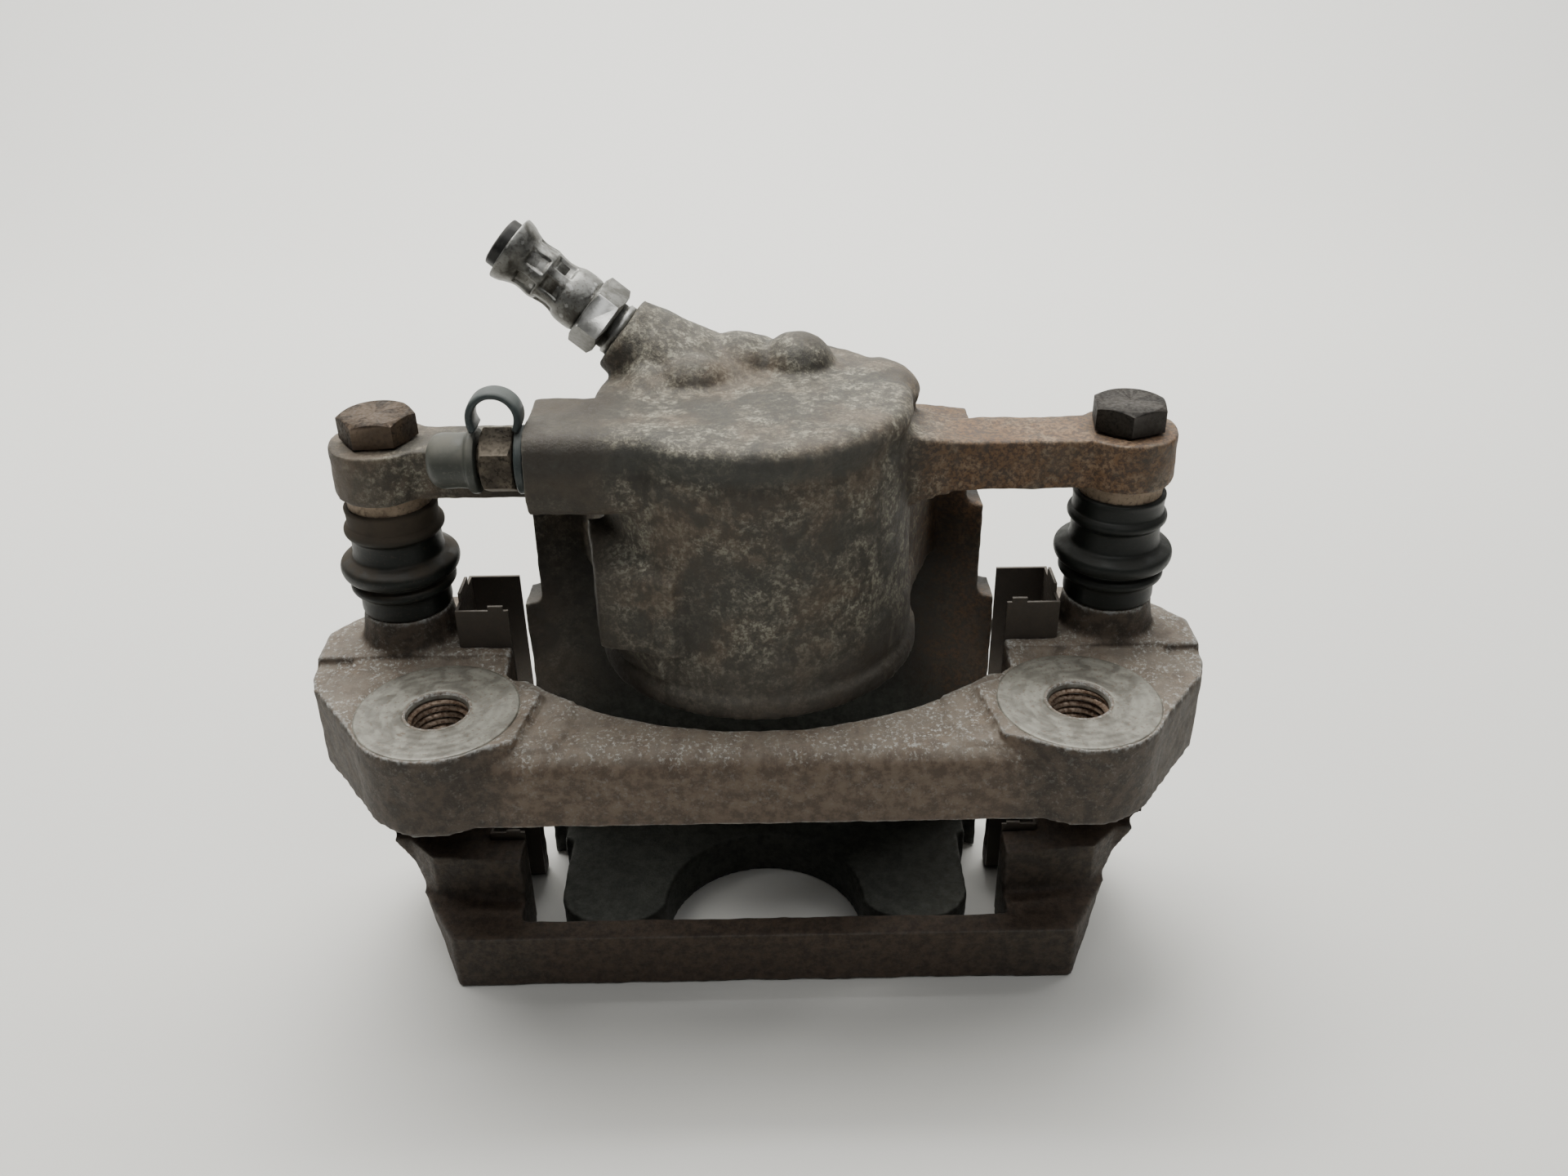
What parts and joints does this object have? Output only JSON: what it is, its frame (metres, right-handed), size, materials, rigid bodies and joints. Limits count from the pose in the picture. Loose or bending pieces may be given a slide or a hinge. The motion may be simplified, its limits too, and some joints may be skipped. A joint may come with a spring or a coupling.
{
  "type": "brake caliper",
  "caption": "Floating disc brake caliper: a cast housing with one piston slides on two booted guide pins in a forged carrier with pad slots and threaded mounting ears.",
  "frame": {"origin": "midway between the two mounting holes, on the face of the ears that meets the steering knuckle", "axes": "+X along the line of the two mounting holes, +Y radially outward from the disc axis, +Z along the disc axis towards the car (inboard)"},
  "size_m": [0.179, 0.0795, 0.1555],
  "materials": {
    "housing_iron": "dusty grey-beige casting with rust on one arm",
    "carrier_iron": "brown rusted casting with worn pale edges",
    "piston_steel": "ground and plated",
    "seal_rubber": "matt",
    "pin_steel": "dull, lightly rusted",
    "boot_rubber": "matt, dusty",
    "bolt_steel": "rusty brown",
    "bleeder_steel": "dull, brownish",
    "cap_rubber": "grey-green, dusty",
    "zinc_steel": "dull zinc plate",
    "hose_rubber": "cut end",
    "clip_steel": "dark coated spring sheet"
  },
  "bodies": {
    "carrier": {"carrier_bracket": "carrier_iron", "guide_boot_left": "boot_rubber", "guide_boot_right": "boot_rubber", "pad_clip_inboard_left": "clip_steel", "pad_clip_inboard_right": "clip_steel", "pad_clip_outboard_left": "clip_steel", "pad_clip_outboard_right": "clip_steel"},
    "housing": {"caliper_housing": "housing_iron", "piston_seal": "seal_rubber", "piston_dust_boot": "seal_rubber", "guide_pin_left": "pin_steel", "guide_pin_right": "pin_steel", "guide_pin_bush": "seal_rubber", "guide_bolt_left": "bolt_steel", "guide_bolt_right": "bolt_steel", "hose_fitting": "zinc_steel", "hose_ferrule": "zinc_steel", "hose_stub": "hose_rubber", "hose_liner": "hose_rubber", "bleed_cap_strap": "cap_rubber"},
    "piston": {"piston": "piston_steel"},
    "bleed_screw": {"bleed_screw": "bleeder_steel"},
    "bleed_cap": {"bleed_cap": "cap_rubber"}
  },
  "joints": [
    {"name": "caliper_slide", "type": "slide", "parent": "carrier", "child": "housing", "axis": [0, 0, 1], "range_m": [-0.003, 0.012], "deforming": ["guide_boot_left", "guide_boot_right"]},
    {"name": "piston_slide", "type": "slide", "parent": "housing", "child": "piston", "axis": [0, 0, -1], "range_m": [0, 0.03], "deforming": ["piston_dust_boot"]},
    {"name": "bleed_screw_turn", "type": "hinge", "parent": "housing", "child": "bleed_screw", "pos_m": [-0.0406, 0.0114, 0.047], "axis": [-1, 0, 0], "range_deg": [0, 270]},
    {"name": "bleed_cap_pull", "type": "slide", "parent": "housing", "child": "bleed_cap", "axis": [-1, 0, 0], "range_m": [0, 0.01], "deforming": ["bleed_cap_strap"]}
  ]
}
